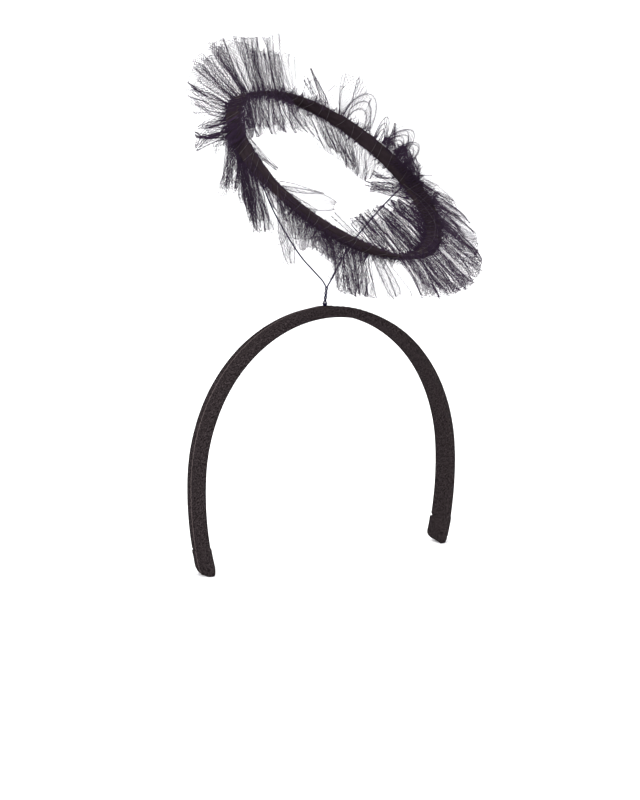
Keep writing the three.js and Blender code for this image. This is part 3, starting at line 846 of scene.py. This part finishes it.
def makeLeaf(leaf, rng):
    turn, edge, out, up, about, rootWide, wide, widest, curl, facing, layers, roundEnd = leaf
    at = np.array(float(turn))
    outWay, roundWay = hoopWays(at)
    root = hoopPoint(at, *besideRibbon(at, edge * (hoop["width"] / 2 - net["rootInset"]), 0.3 * edge))
    fall = outWay * out + hoopUp * up + roundWay * about
    reach = np.linalg.norm(fall)
    face = outWay if facing else hoopUp
    across = unit(np.cross(fall, face))
    lift = unit(np.cross(across, fall))
    parts = []
    for layer in range(layers):
        phase = rng.uniform(0, 6.28)
        tilt = rng.uniform(-0.15, 0.15) * layer

        def arch(u, v):
            bow = np.sin(math.pi * v) * (1.02 - 0.62 * u)
            bow = bow + 0.03 * np.sin(u * 17 + phase)
            sweep = -0.5 * np.cos(math.pi * v) * wide * (1 - 0.5 * u) + tilt * bow * reach
            fold = curl * np.sin(math.pi * v) * (u - 0.4)
            return root + fall * bow[..., None] + across * sweep[..., None] + lift * fold[..., None]

        def place(u, v):
            if roundEnd == 2:
                return arch(u, v)
            rise = np.clip(v / widest, 0, 1)
            drop = np.clip((v - widest) / (1.04 - widest), 0, 1)
            taper = np.sqrt(1 - drop**2) if roundEnd else 1 - 0.92 * drop
            span = (rootWide + (wide - rootWide) * np.sin(rise * math.pi / 2)) * taper
            fold = 0.5 * np.sin(u * 9 + phase) * (0.4 + 0.6 * v)
            fold = fold + curl * np.sin(math.pi * v) * (0.6 + 0.8 * u)
            move = across * ((u - 0.5) * span + tilt * v * reach)[..., None]
            return root + fall * v[..., None] + move + lift * fold[..., None]

        def cut(base):
            return 1 - rng.uniform(0, 0.03, base.shape)

        if roundEnd == 2:
            cloth = reach * 1.1
            length = reach * 2.2
        else:
            fullness = 0.9 if widest == 1 else 1.9 if roundEnd else 1.5
            cloth = max(wide, rootWide) * fullness
            length = reach
        parts.append(threadMesh(netThreads(place, cloth, length, cut), net["thread"]))
        if layers < 3 and roundEnd < 2:
            v = np.broadcast_to(np.linspace(0, 1, 26)[None, :], (4, 26))
            u = np.array([[0.0], [0.04], [0.96], [1.0]]) + 0 * v
            parts.append(threadMesh(place(u, v), net["edgeThread"]))
        if widest == 1:
            u = np.linspace(0, 1, 12)[None, :]
            parts.append(threadMesh(place(u, np.full_like(u, 0.99)), net["edgeThread"]))
    return parts


def makePatch(patch, rng):
    turn, span, face, start, end, bulge, slant, gather = patch
    cloth = math.radians(span) * hoop["radius"] * gather
    pleats = round(cloth / 5)
    phase = rng.uniform(0, 6.28)
    spread = rng.uniform(0.8, 1.1)

    def place(u, v):
        p = 2 * math.pi * pleats * u + phase
        turns = turn + span * (u - 0.5) * (1 + (spread - 1) * v) + slant * (v - 0.5)
        turns = turns + 0.14 * span / pleats * np.sin(2 * p) + 0.3 * np.sin(u * 31 + phase)
        wide = start + (end - start) * v
        over = np.clip(np.abs(wide) - hoop["width"] / 2 + 0.4, 0, None)
        lift = hoop["thick"] / 2 + 0.15 + bulge * np.sin(math.pi * v) * (0.6 + 0.4 * np.sin(p))
        lift = np.where(over > 0, lift + 0.15 * over * np.sin(p + 1), lift)
        out, up = besideRibbon(turns, wide, face * lift)
        return hoopPoint(turns, out, up)

    def cut(base):
        return 1 - 0.12 * (0.5 + 0.5 * np.sin(base * 21 + phase)) - rng.uniform(0, 0.08, base.shape)

    return threadMesh(netThreads(place, cloth, abs(end - start), cut), net["thread"])


# Short ruffled net all round one edge of the ribbon
def makeBunch(edge, layer, rng):
    gather = 3.2
    cloth = 2 * math.pi * hoop["radius"] * gather
    phase = rng.uniform(0, 6.28, 6)
    rows = [(b[0], b[1] if edge < 0 else b[2]) for b in bunching]

    def place(u, v):
        turns = 360 * u + 1.1 * np.sin(u * 360 * 1.3 + phase[0]) + 1.4 * np.sin(u * 121 + phase[5]) * v
        reach = roundTable(rows, turns) * (0.8 + 0.3 * np.sin(u * 97 + phase[1]))
        swing = 0.75 * np.sin(u * 360 * 0.9 + phase[2]) + 0.5 * np.sin(u * 67 + phase[3])
        angle = edge * math.pi / 2 + (0.35 if layer else -0.1) * edge + swing
        aside = 0.7 * np.sin(u * 360 * 1.9 + phase[4]) * (0.4 + 0.6 * v)
        rootWide = np.full_like(turns, edge * (hoop["width"] / 2 - net["bunchInset"]))
        rootOut, rootUp = besideRibbon(turns, rootWide, 0.2 * edge)
        out = rootOut + np.cos(angle) * reach * v - np.sin(angle) * aside
        return hoopPoint(turns, out, rootUp + np.sin(angle) * reach * v + np.cos(angle) * aside)

    def cut(base):
        return 1 - rng.uniform(0, 0.35, base.shape)

    return threadMesh(netThreads(place, cloth, 6, cut, steps=5), net["thread"])


def addNet(name, parts):
    points, faces = joined(parts)
    piece = addMesh(name, points, faces, netThread, False)
    print(f"{name}: {len(faces) * 2} triangles")
    return piece


def makeNet(label, panels, seed, count):
    rng = np.random.default_rng(seed)
    sheets = []
    groups = [[] for _ in range(count)]
    for i, panel in enumerate(panels):
        for layer in range(panel[9]):
            shape = panelShape(rng, panel, layer)
            if layer == 0:
                sheets.append((panel, shape))
            groups[i * count // len(panels)] += makePanel(panel, shape, rng)
    return sheets, [addNet(f"tulle_net_{label}_{k + 1}", group) for k, group in enumerate(groups)]


# Faint haze of the net between its threads, one gathered layer
def makeVeil(label, sheets, nodes):
    parts = []
    for panel, shape in sheets:
        columns = int(shape["pleats"] * 8) + 1
        u = np.linspace(0.01, 0.99, columns)[None, :]
        v = np.linspace(0.02, 0.9, 9)[:, None]
        u, v = np.broadcast_arrays(u, v)
        points = panelPoint(panel, u, v, dict(shape, overlap=0.3))
        parts.append((points, gridFaces(9, columns, closedColumns=False)))
    points, faces = joined(parts)
    piece = addMesh(f"tulle_veil_{label}", points, faces, veil, True)
    a, b, c, d = (points[faces[:, k]] for k in range(4))
    area = 0.5 * np.linalg.norm(np.cross(c - a, d - b), axis=1).sum()
    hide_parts(*nodes)


outerSheets, outerPieces = makeNet("outer", outerPanels, 7, 4)
innerSheets, innerPieces = makeNet("inner", innerPanels, 8, 2)
trimRng = np.random.default_rng(9)
leafParts = [part for leaf in leaves for part in makeLeaf(leaf, trimRng)]
outerPieces.append(addNet("tulle_leaves", leafParts))
outerPieces.append(addNet("tulle_folds", [makePatch(p, trimRng) for p in patches]))
outerPieces.append(addNet("tulle_bunch_lower", [makeBunch(-1, layer, trimRng) for layer in (0, 1, 2)]))
innerPieces.append(addNet("tulle_bunch_upper", [makeBunch(1, layer, trimRng) for layer in (0, 1)]))
outerNodes = [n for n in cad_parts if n.startswith("tulle_outer")]
innerNodes = [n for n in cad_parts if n.startswith("tulle_inner")]
makeVeil("outer", outerSheets, outerNodes)
makeVeil("inner", innerSheets, innerNodes)
print("stage: net made")

# Floor that curves up behind, in metres
backdrop = {
    "turn": 35,
    "halfWidth": 4.0,
    "front": -2.5,
    "bend": 1.2,
    "radius": 0.8,
    "top": 4.0,
    "gap": 0.0005,
}
# Place, size and power
lamps = {
    "key_lamp": ((-1.6, -1.1, 1.5), 1.1, 34),
    "fill_lamp": ((1.3, -1.7, 0.9), 1.4, 15),
    "top_lamp": ((0.0, 0.1, 1.9), 1.3, 32),
}


def makeStage():
    paper = Board("paper")
    paper.set("Base Color", (0.93, 0.93, 0.94, 1))
    paper.set("Roughness", 0.9)
    low = cadLow.z - backdrop["gap"]
    bend, radius = backdrop["bend"], backdrop["radius"]
    rows = [(backdrop["front"], 0.0), (bend, 0.0)]
    for a in np.linspace(0.1, math.pi / 2, 14):
        rows.append((bend + radius * math.sin(a), radius - radius * math.cos(a)))
    rows.append((bend + radius, backdrop["top"]))
    turn = math.radians(backdrop["turn"])
    points = []
    for back, up in rows:
        for aside in (-backdrop["halfWidth"], backdrop["halfWidth"]):
            x = aside * math.cos(turn) + back * math.sin(turn)
            y = -aside * math.sin(turn) + back * math.cos(turn)
            points.append((x, y, low + up))
    mesh = bpy.data.meshes.new("paper_sweep")
    faces = [(2 * k, 2 * k + 1, 2 * k + 3, 2 * k + 2) for k in range(len(rows) - 1)]
    mesh.from_pydata(points, [], faces)
    for p in mesh.polygons:
        p.use_smooth = True
    mesh.materials.append(paper.material)
    sweep = bpy.data.objects.new("paper_sweep", mesh)
    bpy.context.scene.collection.objects.link(sweep)


def addLamp(name, place, size, power):
    lamp = bpy.data.lights.new(name, "AREA")
    lamp.shape = "DISK"
    lamp.size = size
    lamp.energy = power
    holder = bpy.data.objects.new(name, lamp)
    holder.location = place
    way = Vector((0, 0, 0.02)) - Vector(place)
    holder.rotation_mode = "QUATERNION"
    holder.rotation_quaternion = way.to_track_quat("-Z", "Y")
    bpy.context.scene.collection.objects.link(holder)


makeStage()
for name, (place, size, power) in lamps.items():
    addLamp(name, place, size, power)
sky = bpy.data.worlds.new("soft_room")
sky.use_nodes = True
roomLight = sky.node_tree.nodes["Background"]
roomLight.inputs["Color"].default_value = (1, 1, 1, 1)
roomLight.inputs["Strength"].default_value = 0.9
bpy.context.scene.world = sky
bpy.context.scene.view_settings.view_transform = "Standard"

camera = {"azimuth": -35, "elevation": 8, "distance": 1.7, "lens": 157.6, "aside": -1.845, "up": -40.55}
az, el = math.radians(camera["azimuth"]), math.radians(camera["elevation"])
right = Vector((math.cos(az), math.sin(az), 0))
back = Vector((math.sin(az) * math.cos(el), -math.cos(az) * math.cos(el), math.sin(el)))
upWay = back.cross(right)
eye = bpy.data.cameras.new("photo_view")
eye.sensor_fit = "VERTICAL"
eye.sensor_height = 36
eye.lens = camera["lens"]
eye.clip_end = 50
viewer = bpy.data.objects.new("photo_view", eye)
aim = right * camera["aside"] * mm + upWay * camera["up"] * mm
viewer.location = back * camera["distance"]
viewer.rotation_mode = "QUATERNION"
viewer.rotation_quaternion = (aim - viewer.location).to_track_quat("-Z", "Y")
bpy.context.scene.collection.objects.link(viewer)
bpy.context.scene.camera = viewer

print("stage: ready")
